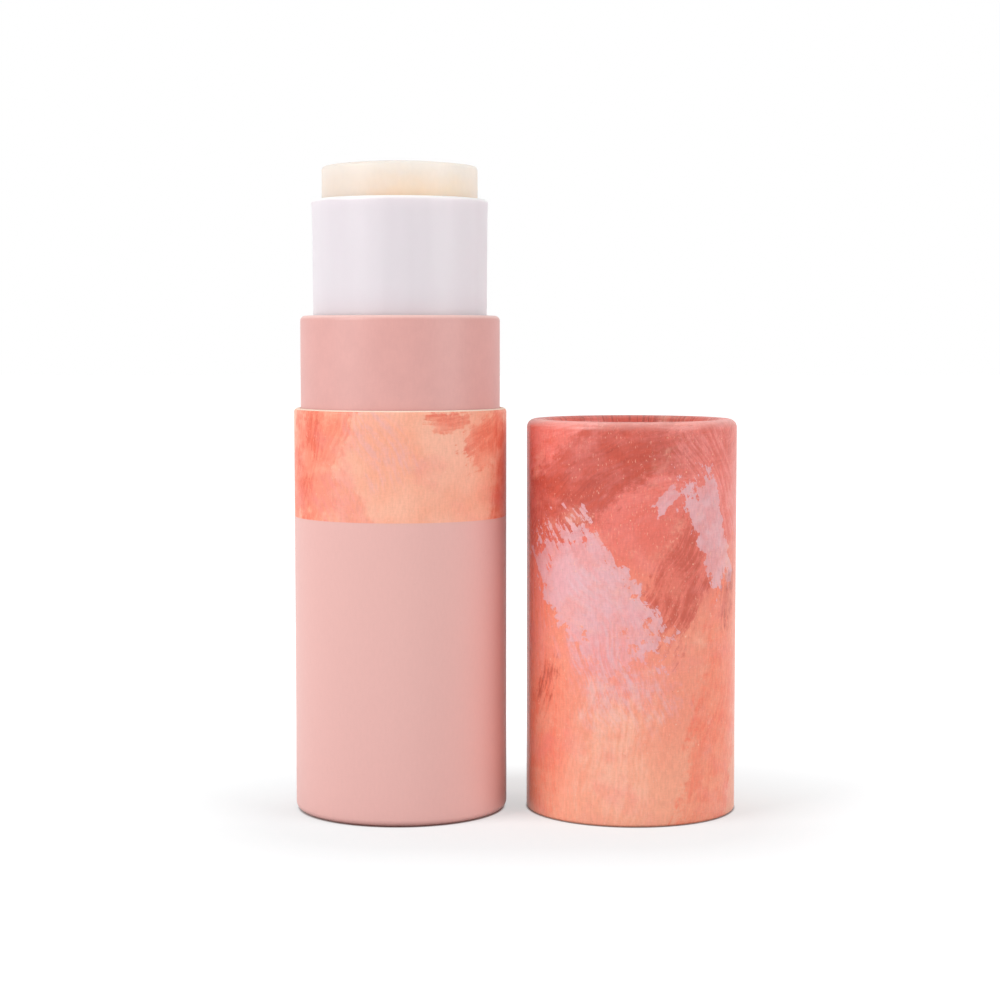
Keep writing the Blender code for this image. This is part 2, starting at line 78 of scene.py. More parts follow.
BARREL_WALL = 1.05 * MM
BARREL_RIM_ROUND = 0.45 * MM
BARREL_RIM_RADIUS = 11.17 * MM
BARREL_DRAFT = 0.09 * MM
BARREL_FLARE = 0.08 * MM
BARREL_FLARE_HEIGHT = 3.2 * MM
BARREL_FLOOR = 1.2 * MM
BARREL_FLANGE = 1.0 * MM
SNAP_HOLE_RADIUS = 3.35 * MM
KEY_DEPTH = 0.4 * MM
KEY_WIDTH = 0.9 * MM
KEY_GAP = 0.12 * MM
KEY_BELOW_RIM = 8.0 * MM
KEY_TURNS = (0, math.pi)

BALM_EDGE_ROUND = 0.5 * MM
BALM_CROWN_RISE = 0.62 * MM
BALM_CROWN_LIFT = 0.22 * MM
BALM_BORE = 3.4 * MM
BALM_BORE_BELOW_TOP = 6.0 * MM
BALM_FOOT_INSET = 1.28 * MM
BALM_FOOT_DROP = 1.5 * MM
BALM_GROOVE_BELOW_TOP = 7.1 * MM

# The overlap of each wrap, at the back
SEAM_WIDTH = 6.0 * MM
SEAM_EASE = 1.5 * MM
SEAM_TURN = math.pi / 2
SEAM_LIFT_SHARE = 0.8

# The painted band at the base's upper end
BAND_BOTTOM = 37.6 * MM

# Gathers of folded paper edges: their height, and wobbles of (seed, number to a radian, share)
NECK_PLEAT_HEIGHT = 0.035 * MM
NECK_PLEATS = ((3.7, 24.0, 0.6), (8.2, 8.0, 0.4))
CAP_PLEAT_HEIGHT = 0.06 * MM
CAP_PLEATS = ((5.1, 16.0, 0.6), (1.4, 36.0, 0.4))

# Camera, set to the photograph's viewpoint
IMAGE_SIZE = 1000
FOCAL_PIXELS = 2237
SENSOR_WIDTH = 36.0
CAMERA_PLACE = Vector((-1.975, -285.0, 60.6)) * MM
CAMERA_PITCH = math.radians(4.237)

# The world lights at one strength and is seen, also in reflections, as white
WORLD_LIGHT = 0.195
WORLD_SEEN = 1.0

# The floor: how pale it is to light, and how much of its shadow shows, in which tone
FLOOR_REACH = 3.0
FLOOR_ALBEDO = 0.86
FLOOR_SHADOW_SHARE = 0.46
FLOOR_SHADOW_TONE = (0.995, 1.05, 1.07)

# Its white near the pieces and far from them, and the line in front of them that it is near to
FLOOR_WHITE_NEAR = 0.545
FLOOR_WHITE_FAR = 1.0
FLOOR_NEAR = 15 * MM
FLOOR_FAR = 74 * MM
FLOOR_LINE_FORWARD = 9 * MM

# Painted contact shadow under the pieces, as it is seen and as it sends light back
CONTACT_SEEN_REACH = 0.3 * MM
CONTACT_BOUNCE_REACH = 1.5 * MM
CONTACT_OPENNESS = 0.35
CONTACT_SHADOW_TINT = (0.14, 0.05, 0.04)
CONTACT_SAMPLES = 8

# Softboxes: degrees round from the camera, degrees up, distance, width, height, power
SOFTBOXES = [
    (-60, 28, 0.75, 0.42, 0.42, 4.2),
    (60, 25, 0.75, 0.45, 0.60, 3.2),
    (180, 70, 0.75, 0.80, 0.40, 1.5),
]
SOFTBOX_AIM = Vector((0, 0, 0.04))


def paint(red, green, blue):
    """A colour from its 8-bit screen values, by sRGB's curve to the linear ones that nodes take."""
    shares = [value / 255 for value in (red, green, blue)]
    return tuple(s / 12.92 if s <= 0.04045 else ((s + 0.055) / 1.055) ** 2.4 for s in shares)


PEACH = paint(241, 166, 138)
PALE_PEACH = paint(246, 190, 166)
SALMON = paint(239, 148, 123)
CORAL = paint(239, 124, 98)
ORANGE = paint(243, 142, 112)
VERMILION = paint(226, 98, 72)
ROSE = paint(226, 113, 99)
PINK_ROSE = paint(238, 142, 135)
DEEP_ROSE = paint(198, 86, 70)
BRICK = paint(170, 66, 52)
LILAC = paint(227, 172, 178)
PALE_LILAC = paint(225, 186, 194)
DUSTY_PINK = paint(226, 177, 171)
NECK_PINK = paint(216, 160, 154)
CREAM = paint(244, 226, 204)
BOARD = paint(236, 214, 186)
PAPER_BACK = paint(244, 238, 230)
PLASTIC = paint(226, 217, 223)
# Painted on the barrel: a highlight along its rim, and a pinkish shade with the neck's reflected
# pink at its foot
PLASTIC_RIM_HIGHLIGHT = paint(252, 249, 251)
PLASTIC_PINK_SHADE = paint(214, 200, 205)
CUT_EDGE = paint(250, 228, 208)
WAX = paint(231, 219, 209)
# The tint of a painted glow, as of light passing through the balm
WAX_GLOW = paint(243, 216, 190)


def linear(share, start, end):
    return start + share * (end - start)


def extent(node):
    """(axis x, radius, bottom, top) of a round node."""
    low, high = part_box(node)
    return (low.x + high.x) / 2, (high.x - low.x) / 2, low.z, high.z


base_x, base_radius, _, _ = extent("base_wrap")
base_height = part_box("base_tube")[1].z
_, neck_radius, neck_bottom, neck_top = extent("neck_wrap")
_, _, barrel_bottom, barrel_top = extent("barrel")
_, balm_radius, balm_foot, balm_top = extent("balm")
cap_x, cap_radius, _, cap_height = extent("cap_wrap")

barrel_bore = BARREL_RIM_RADIUS - BARREL_FLARE - BARREL_DRAFT - BARREL_WALL
barrel_radius = barrel_bore + BARREL_WALL


# Shapes


def arc(centre, radii, start, end, steps=ARC_STEPS):
    """Points (radius, height) along an arc or ellipse, with angles in degrees from straight out."""
    angles = [math.radians(linear(step / steps, start, end)) for step in range(steps + 1)]
    (x, y), (wide, high) = centre, radii
    return [(x + wide * math.cos(angle), y + high * math.sin(angle)) for angle in angles]


def ring(extra=()):
    """Evenly spaced angles for a turned piece, with any extra ones that its details need."""
    even = [2 * math.pi * step / RING_STEPS for step in range(RING_STEPS)]
    return sorted(set(even) | {turn % (2 * math.pi) for turn in extra})


def lathe(name, runs, axis_x, closed=True, angles=None, warp=None):
    """A mesh made by turning an outline about an upright axis, down its outer side first.

    runs is a list of (points, material index). Each point is (radius, height). warp takes an angle,
    a radius and a height, and gives how far the point is moved out and up.
    """
    angles = angles or ring()
    points = [point for run, _ in runs for point in run]
    finishes = [index for run, index in runs for _ in run]
    work = bmesh.new()
    rows = []
    for radius, height in points:
        row = []
        for angle in angles:
            out, up = warp(angle, radius, height) if warp else (0, 0)
            reach = radius + out
            place = (axis_x + reach * math.cos(angle), reach * math.sin(angle), height + up)
            row.append(work.verts.new(place))
        rows.append(row)
    count = len(points)
    for index in range(count if closed else count - 1):
        upper, lower = rows[index], rows[(index + 1) % count]
        for step in range(len(angles)):
            after = (step + 1) % len(angles)
            face = work.faces.new((upper[step], lower[step], lower[after], upper[after]))
            face.material_index = finishes[index]
            face.smooth = True
    bmesh.ops.remove_doubles(work, verts=work.verts, dist=MERGE_DISTANCE)
    mesh = bpy.data.meshes.new(name)
    work.to_mesh(mesh)
    work.free()
    mesh.set_sharp_from_angle(angle=SHARP_ANGLE)
    item = bpy.data.objects.new(name, mesh)
    bpy.context.scene.collection.objects.link(item)
    return item


def seam_angles(radius):
    """The angles that a wrap's overlap needs: its cut edge, and where the paper under it ends."""
    width = SEAM_WIDTH / radius
    ease = SEAM_EASE / radius
    edge = [SEAM_TURN - STEP_TURN, SEAM_TURN + STEP_TURN]
    return edge + [SEAM_TURN + width + ease * step / ARC_STEPS for step in range(ARC_STEPS + 1)]


def seam_lift(angle, radius, paper):
    """How far the outer paper stands out at an angle, where it lies over its own other edge."""
    along = ((angle - SEAM_TURN) % (2 * math.pi)) * radius
    if along < SEAM_WIDTH:
        return paper
    share = min(1, (along - SEAM_WIDTH) / SEAM_EASE)
    return paper * (1 - share * share * (3 - 2 * share))


def wobble(angle, seed, per_radian):
    """Smooth unevenness round a piece, from about -1 to 1, with no step where the circle closes."""
    place = Vector((math.cos(angle) * per_radian, math.sin(angle) * per_radian, seed))
    return noise.noise(place)


def gathers(angle, pleats):
    """The height of gathered paper round a piece, as a share of its pleats' full height."""
    return sum(share * wobble(angle, seed, per_radian) for seed, per_radian, share in pleats)


def curled_layer(radius, curl, outer_depth, inner_depth):
    """(outer side, inner side) of one layer of a tube whose foot curls in and up again."""
    bends = (radius - curl, curl), (radius - curl - FOOT_WIDTH, curl)
    outer = [curl - outer_depth] * 2
    inner = [curl - inner_depth] * 2
    outside = arc(bends[0], outer, 0, -90) + arc(bends[1], outer, -90, -180)
    inside = arc(bends[1], inner, -180, -90) + arc(bends[0], inner, -90, 0)
    return outside, inside


def rolled_paper(radius, height, edge_round, curl, paper):
    """(cut edge and printed side, plain side) of a tube's paper.

    The paper is cut off at the top and rolled in at the foot.
    """
    edge_centre = (radius - edge_round, height - edge_round)
    edge_angle = math.degrees(math.acos(1 - paper / edge_round))
    outside, inside = curled_layer(radius, curl, 0, paper)
    return arc(edge_centre, [edge_round] * 2, edge_angle, 0) + outside[:-1], outside[-1:] + inside


def rolled_board(radius, height, edge_round, curl, paper, wall):
    """The board under that paper, whose cut edge shows at the top."""
    depth = paper + GLUE_GAP
    edge_centre = (radius - edge_round, height - edge_round)
    edge_angle = math.degrees(math.acos(1 - depth / edge_round))
    outside, inside = curled_layer(radius, curl, depth, wall)
    cut_edge = [(radius - wall, height)] + arc(edge_centre, [edge_round] * 2, 90, edge_angle)
    return cut_edge + outside + inside


def make_base_wrap():
    """The printed paper of the base, rolled under with the board."""
    size = (base_radius, base_height, BASE_EDGE_ROUND, BASE_CURL, BASE_PAPER)
    outside, inside = rolled_paper(*size)

    def warp(angle, radius, height):
        if radius < base_radius - BASE_CURL:
            return 0, 0
        return seam_lift(angle, base_radius, BASE_PAPER * SEAM_LIFT_SHARE), 0

    angles = ring(seam_angles(base_radius))
    return lathe("base_paper_skin", [(outside, 0), (inside, 1)], base_x, angles=angles, warp=warp)


def make_base_board():
    """The board tube of the base. Its cream cut edge shows above the printed paper."""
    size = (base_radius, base_height, BASE_EDGE_ROUND, BASE_CURL, BASE_PAPER)
    return lathe("base_board", [(rolled_board(*size, BASE_WALL), 0)], base_x)


def make_neck_wrap():
    """The paper of the neck, turned over its top edge, where it is gathered into faint pleats."""
    edge_centre = (neck_radius - NECK_EDGE_ROUND, neck_top - NECK_EDGE_ROUND)
    paper_end = barrel_radius + NECK_PAPER_INSET
    outer_edge = arc(edge_centre, [NECK_EDGE_ROUND] * 2, 90, 0)
    inner_edge = arc(edge_centre, [NECK_EDGE_ROUND - NECK_PAPER] * 2, 0, 90)
    shares = [step / ARC_STEPS for step in range(ARC_STEPS)]
    top = [(linear(share, paper_end, edge_centre[0]), neck_top) for share in shares]
    outside = top + outer_edge + [(neck_radius, neck_bottom)]
    inner_foot = (neck_radius - NECK_PAPER, neck_bottom)
    inside = [inner_foot] + inner_edge + [(paper_end, neck_top - NECK_PAPER)]

    def warp(angle, radius, height):
        if height <= edge_centre[1]:
            return 0, 0
        folded = max(0, min(1, (neck_radius - radius) / (neck_radius - paper_end)))
        return 0, gathers(angle, NECK_PLEATS) * NECK_PLEAT_HEIGHT * folded

    return lathe("neck_paper_skin", [(outside, 0), (inside, 1)], base_x, warp=warp)


def key_inset(angle, radius, width, depth):
    """How far a key rib, or the groove over it, reaches in at an angle."""
    for turn in KEY_TURNS:
        away = abs((angle - turn + math.pi) % (2 * math.pi) - math.pi) * radius
        if away < width / 2 + MERGE_DISTANCE:
            return depth
    return 0


def key_angles(radius, width):
    """The angles that key ribs or grooves need: one at each edge, and one just outside it."""
    half = width / 2 / radius
    edges = [side * (half + step) for side in (-1, 1) for step in (0, STEP_TURN)]
    return [turn + edge for turn in KEY_TURNS for edge in edges]


def make_barrel():
    """The moulded barrel: flared rim, key ribs and the floor that the screw snaps through."""
    flare_bottom = barrel_top - BARREL_FLARE_HEIGHT
    floor_top = barrel_bottom + BARREL_FLOOR
    flange_top = barrel_bottom + BARREL_FLANGE
    key_top = barrel_top - KEY_BELOW_RIM
    rim_radii = [BARREL_RIM_ROUND] * 2
    inner_centre = (barrel_bore + BARREL_RIM_ROUND, barrel_top - BARREL_RIM_ROUND)
    outer_centre = (BARREL_RIM_RADIUS - BARREL_RIM_ROUND, barrel_top - BARREL_RIM_ROUND)
    flare = [
        (
            barrel_radius + BARREL_DRAFT + BARREL_FLARE * (1 - step / ARC_STEPS) ** 2,
            linear(step / ARC_STEPS, outer_centre[1], flare_bottom),
        )
        for step in range(1, ARC_STEPS)
    ]
    outline = [
        *arc(inner_centre, rim_radii, 180, 90),
        *arc(outer_centre, rim_radii, 90, 0),
        *flare,
        (barrel_radius + BARREL_DRAFT, flare_bottom),
        (barrel_radius, neck_top),
        (barrel_radius, flange_top),
        (neck_radius, flange_top),
        (neck_radius, barrel_bottom),
        (SNAP_HOLE_RADIUS, barrel_bottom),
        (SNAP_HOLE_RADIUS, floor_top),
        (barrel_bore, floor_top),
        (barrel_bore, key_top),
        (barrel_bore, key_top + STEP_HEIGHT),
    ]

    def warp(angle, radius, height):
        if height > key_top or abs(radius - barrel_bore) >= MERGE_DISTANCE:
            return 0, 0
        return -key_inset(angle, barrel_bore, KEY_WIDTH, KEY_DEPTH), 0

    angles = ring(key_angles(barrel_bore, KEY_WIDTH))
    return lathe("barrel_shell", [(outline, 0)], base_x, angles=angles, warp=warp)


def make_balm():
    """The cast balm, softly rounded, with the grooves that the key ribs leave in its side."""
    crown_top = balm_top + BALM_CROWN_LIFT
    side_top = crown_top - BALM_CROWN_RISE - BALM_EDGE_ROUND
    shoulder = balm_foot + BALM_FOOT_DROP
    groove_top = balm_top - BALM_GROOVE_BELOW_TOP
    edge_centre = (balm_radius - BALM_EDGE_ROUND, side_top)
    groove_width = KEY_WIDTH + 2 * KEY_GAP
    groove_depth = KEY_DEPTH + KEY_GAP - (barrel_bore - balm_radius)
    crown = [
        (
            edge_centre[0] * step / ARC_STEPS,
            crown_top - BALM_CROWN_RISE * (step / ARC_STEPS) ** 2,
        )
        for step in range(ARC_STEPS)
    ]
    outline = [
        *crown,
        *arc(edge_centre, [BALM_EDGE_ROUND] * 2, 90, 0),
        (balm_radius, groove_top),
        (balm_radius, groove_top - STEP_HEIGHT),
        (balm_radius, shoulder),
        (balm_radius - BALM_FOOT_INSET, shoulder),
        (balm_radius - BALM_FOOT_INSET, balm_foot),
        (BALM_BORE, balm_foot),
        (BALM_BORE, balm_top - BALM_BORE_BELOW_TOP),
        (0, balm_top - BALM_BORE_BELOW_TOP),
    ]

    def warp(angle, radius, height):
        if height >= groove_top or abs(radius - balm_radius) >= MERGE_DISTANCE:
            return 0, 0
        return -key_inset(angle, balm_radius, groove_width, groove_depth), 0

    angles = ring(key_angles(balm_radius, groove_width))
    return lathe("balm_cast", [(outline, 0)], base_x, closed=False, angles=angles, warp=warp)


def upended(points):
    """An outline stood on its head within the cap's height, and still listed from its top."""
    return [(radius, cap_height - height) for radius, height in reversed(points)]


def make_cap_wrap():
    """The cap's printed paper: cut at the mouth, and rolled in and gathered at the closed end."""
    printed, plain = rolled_paper(cap_radius, cap_height, CAP_EDGE_ROUND, CAP_CURL, CAP_PAPER)
    rolled_in = cap_radius - CAP_CURL

    def warp(angle, radius, height):
        if height < cap_height / 2 or radius > rolled_in:
            return seam_lift(angle, cap_radius, CAP_PAPER * SEAM_LIFT_SHARE), 0
        share = min(1, (rolled_in - radius) / CAP_CURL)
        pleat = gathers(angle, CAP_PLEATS) * CAP_PLEAT_HEIGHT * share
        return pleat, pleat / 2

    runs = [(upended(plain[1:]), 1), (upended(printed + plain[:1]), 0)]
    return lathe("cap_paper_skin", runs, cap_x, angles=ring(seam_angles(cap_radius)), warp=warp)


def make_cap_board():
    """The board tube of the cap, whose cut edge is the mouth that the cap stands on."""
    size = (cap_radius, cap_height, CAP_EDGE_ROUND, CAP_CURL, CAP_PAPER)
    return lathe("cap_board", [(upended(rolled_board(*size, CAP_WALL)), 0)], cap_x)


def make_tube(name, node, wall):
    """A plain turned tube in a node's place."""
    axis_x, radius, bottom, top = extent(node)
    outline = [(radius - wall, top), (radius, top), (radius, bottom), (radius - wall, bottom)]
    return lathe(name, [(outline, 0)], axis_x)


def make_disc(name, node):
    """A plain disc in a node's place."""
    axis_x, radius, bottom, top = extent(node)
    outline = [(0, top), (radius, top), (radius, bottom), (0, bottom)]
    return lathe(name, [(outline, 0)], axis_x, closed=False)


# Materials


# The value that a noise texture swings about
NOISE_MIDDLE = 0.5


class Net:
    """A material's nodes, built up from small expressions.

    A value is a number, a tuple or a socket.
    """

    def __init__(self, name):
        self.material = bpy.data.materials.new(name)
        self.material.use_nodes = True
        self.tree = self.material.node_tree
        self.shader = self.tree.nodes["Principled BSDF"]
        self.place = self.make("TexCoord", {}, "Object")

    def feed(self, socket, value):
        if isinstance(value, bpy.types.NodeSocket):
            self.tree.links.new(value, socket)
        elif socket.type == "RGBA":
            socket.default_value = (*value, 1)
        else:
            socket.default_value = value

    def make(self, kind, values, out=0, **settings):
        """A new node's output. values go to its inputs, and settings to the node itself."""
        node = self.tree.nodes.new("ShaderNode" + kind)
        for key, value in settings.items():
            setattr(node, key, value)
        for key, value in values.items():
            self.feed(node.inputs[key], value)
        return node.outputs[out]

    def calc(self, operation, *values):
        return self.make("Math", dict(enumerate(values)), operation=operation)

    def vector(self, operation, *values, out=0):
        return self.make("VectorMath", dict(enumerate(values)), out, operation=operation)

    def point(self, x, y, z=0.0):
        return self.make("CombineXYZ", {0: x, 1: y, 2: z})

    def split(self, place):
        """The x, y and z of a place."""
        return self.make("SeparateXYZ", {0: place}, slice(0, 3))

    def millimetres(self):
        """The place on the part, in millimetres."""
        return self.vector("MULTIPLY", self.place, (1 / MM,) * 3)

    def noise(self, place, detail=2.0, roughness=0.5, distortion=0.0, out=0):
        values = {"Vector": place, "Scale": 1.0, "Detail": detail}
        values.update({"Roughness": roughness, "Distortion": distortion})
        return self.make("TexNoise", values, out)

    def pattern(self, place, fineness, detail=2.0, roughness=0.5, start=None):
        """Noise of a fineness per millimetre each way. start takes it from another place."""
        place = self.vector("MULTIPLY", place, fineness)
        return self.noise(self.vector("ADD", place, start) if start else place, detail, roughness)

    def ease(self, value, start, end, low=0.0, high=1.0):
        """Smoothly from low at start to high at end."""
        values = {0: value, 1: start, 2: end, 3: low, 4: high}
        return self.make("MapRange", values, interpolation_type="SMOOTHSTEP")

    def ease_below(self, up, top, start, end, low=0.0, high=1.0):
        """The same between two depths in millimetres below a top that is given in metres."""
        return self.ease(up, top / MM - start, top / MM - end, low, high)

    def weigh(self, share, first, second):
        """A share of the first value, and the rest of the second."""
        return self.calc("MULTIPLY_ADD", first, share, self.calc("MULTIPLY", second, 1 - share))

    def swing(self, value, reach, middle):
        """Noise turned into a swing about a middle value. reach is from one end to the other."""
        return self.calc("MULTIPLY_ADD", self.calc("SUBTRACT", value, NOISE_MIDDLE), reach, middle)

    def blend(self, share, first, second):
        return self.make("Mix", {0: share, 6: first, 7: second}, 2, data_type="RGBA")

    def tone(self, colour, brightness):
        return self.make("HueSaturation", {"Value": brightness, "Color": colour})

    def surface(self, colour, roughness, height, depth, **fixed):
        """Feeds the shader: colour, roughness, bumps of a depth in millimetres, fixed values."""
        self.feed(self.shader.inputs["Base Color"], colour)
        self.feed(self.shader.inputs["Roughness"], roughness)
        bump = self.make("Bump", {"Height": height, "Distance": depth * MM, "Strength": 1.0})
        self.feed(self.shader.inputs["Normal"], bump)
        for key, value in fixed.items():
            self.feed(self.shader.inputs[key.replace("_", " ")], value)
        return self.material


# Noise patterns: fineness per millimetre each way, detail, roughness, and where they start
PATCHES = ((0.55, 0.55, 1.0), 6.0, 0.68)
WASH_CLOUD = ((0.24, 0.28, 1.0), 5.0, 0.66, (4, 1, 6))
PINK_CLOUD = ((0.13, 0.16, 1.0), 4.0, 0.6, (7, 3, 5))
PALE_CLOUD = ((0.16, 0.2, 1.0), 5.0, 0.65, (2, 9, 1))
FIBRES = ((3.4, 0.85, 1.0), 4.0, 0.62)
WEAVE = ((1.6, 5.5, 3.0), 3.0, 0.6)
DASHES = ((5.5, 1.8, 8.0), 2.0)
CAP_DRIFT = ((0.09, 0.07, 0), 3.0)
CAP_CREASES = ((0.8, 0.12, 0), 4.0, 0.7)
BAND_DRIFT = ((0.12, 0.12, 0), 3.0)
NECK_MOTTLE = ((0.3, 0.3, 1.0), 4.0, 0.6)
BOARD_FIBRES = ((4, 4, 4), 2.0)
PLASTIC_HAZE = ((0.24, 0.24, 0.02), 2.0)
WAX_CLOUD = ((0.16, 0.16, 0.3), 3.0)
WAX_FLOW = ((1.6, 1.6, 0.9), 3.0)

# Strokes sway over the paper: how finely, in what detail, and how many millimetres from end to end
SWAY_FINENESS = (0.09, 0.09, 1.0)
SWAY_DETAIL = 1.0
SWAY_REACH = (5.0, 5.0, 0)

# Bristle marks to a millimetre along and across a stroke, and their detail and roughness
BRISTLES_ALONG = 0.2
BRISTLES_ACROSS = 1.6
BRISTLE_NOISE = (4.0, 0.65)
STROKE_SEED = 1.7

# How far a stroke's corners are rounded, and how far the bristles and the patches tear its edge
STROKE_CORNER = 0.5
BRISTLE_TEAR = 1.7
PATCH_TEAR = 2.6

# Where noise or distance turns into cover or tone: start, end, and the values there
DRY_EDGE = (0.2, 1.0)
DRY_BRISTLES = (0.45, 0.62)
STROKE_STREAKS = (0.4, 0.6)
WASH_THINNING = (0.62, 0.42, 0.6, 1.0)
PINK_COVER = (0.5, 0.72, 0.0, 0.4)
PALE_COVER = (0.54, 0.74, 0.0, 0.35)
GRAIN_CONTRAST = 0.075
GRAIN_TONED = (0.28, 0.72)
GRAIN_ROUGHNESS = (0.2, 0.8, 0.52, 0.42)
DASH_MARKS = (0.6, 0.7)
DASH_COVER = (0.44, 0.6, 0.05, 0.5)
SPECK_CORE = 0.4
SPECK_CLUSTERS = (0.45, 0.6)
SPECK_COVER = 0.75

# Shares of the first of two patterns, where they are put together
BRISTLE_SHARE = 0.6
FIBRE_SHARE = 0.65
MOTTLE_SHARE = 0.6


def unrolled(net, axis_x, radius):
    """(across, up, inward) in millimetres on a wrap laid flat, with the front's middle at zero."""
    x, y, z = net.split(net.place)
    aside = net.calc("SUBTRACT", x, axis_x)
    turn = net.calc("ARCTAN2", aside, net.calc("MULTIPLY", y, -1.0))
    reach = net.vector("LENGTH", net.point(aside, y), out="Value")
    inward = net.calc("MULTIPLY", net.calc("SUBTRACT", radius, reach), 1 / MM)
    return net.calc("MULTIPLY", turn, radius / MM), net.calc("MULTIPLY", z, 1 / MM), inward


def swayed(net, flat):
    """A place moved about by slow noise, so that the strokes over it bend and fray."""
    drift = net.noise(net.vector("MULTIPLY", flat, SWAY_FINENESS), SWAY_DETAIL, out=1)
    drift = net.vector("SUBTRACT", drift, (NOISE_MIDDLE,) * 3)
    return net.vector("MULTIPLY_ADD", drift, SWAY_REACH, flat)


def stroke(
    net, flat, patches, middle, lean, half_length, half_width, seed, torn=0.5, soft=0.05, dry=0.3
):
    """(mask, bristle marks) of a brush stroke, torn at its edge and thin where it runs dry."""
    turn = (0, 0, math.radians(lean))
    values = {0: flat, 1: (*middle, 0), 2: turn, 3: (half_length, half_width, 1)}
    local = net.make("Mapping", values, vector_type="TEXTURE")
    stretch = (half_length * BRISTLES_ALONG, half_width * BRISTLES_ACROSS, 0)
    bristle = net.noise(net.vector("MULTIPLY_ADD", local, stretch, (0, 0, seed)), *BRISTLE_NOISE)
    along, across, _ = net.split(local)
    along, across = net.calc("ABSOLUTE", along), net.calc("ABSOLUTE", across)
    edge = net.calc("SMOOTH_MAX", along, across, STROKE_CORNER)
    ragged = net.swing(bristle, net.calc("MULTIPLY", along, BRISTLE_TEAR * torn), edge)
    ragged = net.swing(patches, PATCH_TEAR * torn, ragged)
    mask = net.ease(ragged, 1 + soft, 1 - soft)
    gaps = net.ease(edge, *DRY_EDGE, 0.0, dry)
    gaps = net.calc("MULTIPLY", gaps, net.ease(bristle, *DRY_BRISTLES))
    return net.calc("MULTIPLY", mask, net.calc("SUBTRACT", 1.0, gaps)), bristle


def painted(net, flat, ground, strokes):
    """(colour, patches) of a wash brushed over a ground, with pinker and paler clouds in it.

    patches is the noise that tears the strokes, for later marks to follow.
    """
    bent = swayed(net, flat)
    patches = net.pattern(flat, *PATCHES)
    cloud = net.pattern(flat, *WASH_CLOUD)
    thin = net.ease(cloud, *WASH_THINNING)
    colour = ground
    for index, (first, second, strength, *shape, edges) in enumerate(strokes):
        mask, bristle = stroke(net, bent, patches, *shape, seed=STROKE_SEED * index, **edges)
        streaks = net.ease(net.weigh(BRISTLE_SHARE, bristle, cloud), *STROKE_STREAKS)
        cover = net.calc("MULTIPLY", net.calc("MULTIPLY", mask, strength), thin)
        colour = net.blend(cover, colour, net.blend(streaks, first, second))
    pink = net.ease(net.pattern(flat, *PINK_CLOUD), *PINK_COVER)
    pale = net.ease(net.pattern(flat, *PALE_CLOUD), *PALE_COVER)
    return net.blend(pale, net.blend(pink, colour, PINK_ROSE), PALE_PEACH), patches


def grained(net, flat, colour, depth=1.0):
    """(colour, roughness, height) of printed paper: short upright fibres and a fine weave."""
    both = net.weigh(FIBRE_SHARE, net.pattern(flat, *FIBRES), net.pattern(flat, *WEAVE))
    contrast = GRAIN_CONTRAST * depth
    brightness = net.ease(both, *GRAIN_TONED, 1 - contrast, 1 + contrast)
    return net.tone(colour, brightness), net.ease(both, *GRAIN_ROUGHNESS), both


def dashed(net, flat, patches, colour, dash_colour):
    """Adds short pale marks where the brush has dragged over the grain."""
    marks = net.ease(net.pattern(flat, *DASHES), *DASH_MARKS)
    share = net.calc("MULTIPLY", marks, net.ease(patches, *DASH_COVER))
    return net.blend(share, colour, dash_colour)


def specked(net, flat, patches, colour, speck_colour, fineness, radius, share):
    """Adds small dabs of a colour, in loose clusters."""
    cells = net.tree.nodes.new("ShaderNodeTexVoronoi")
    net.feed(cells.inputs["Vector"], flat)
    net.feed(cells.inputs["Scale"], fineness)
    net.feed(cells.inputs["Randomness"], 1.0)
    near = net.ease(cells.outputs["Distance"], radius, radius * SPECK_CORE)
    chosen = net.make("SeparateColor", {0: cells.outputs["Color"]})
    some = net.calc("LESS_THAN", chosen, share)
    cluster = net.ease(patches, *SPECK_CLUSTERS)
    mask = net.calc("MULTIPLY", net.calc("MULTIPLY", near, some), cluster)
    return net.blend(net.calc("MULTIPLY", mask, SPECK_COVER), colour, speck_colour)


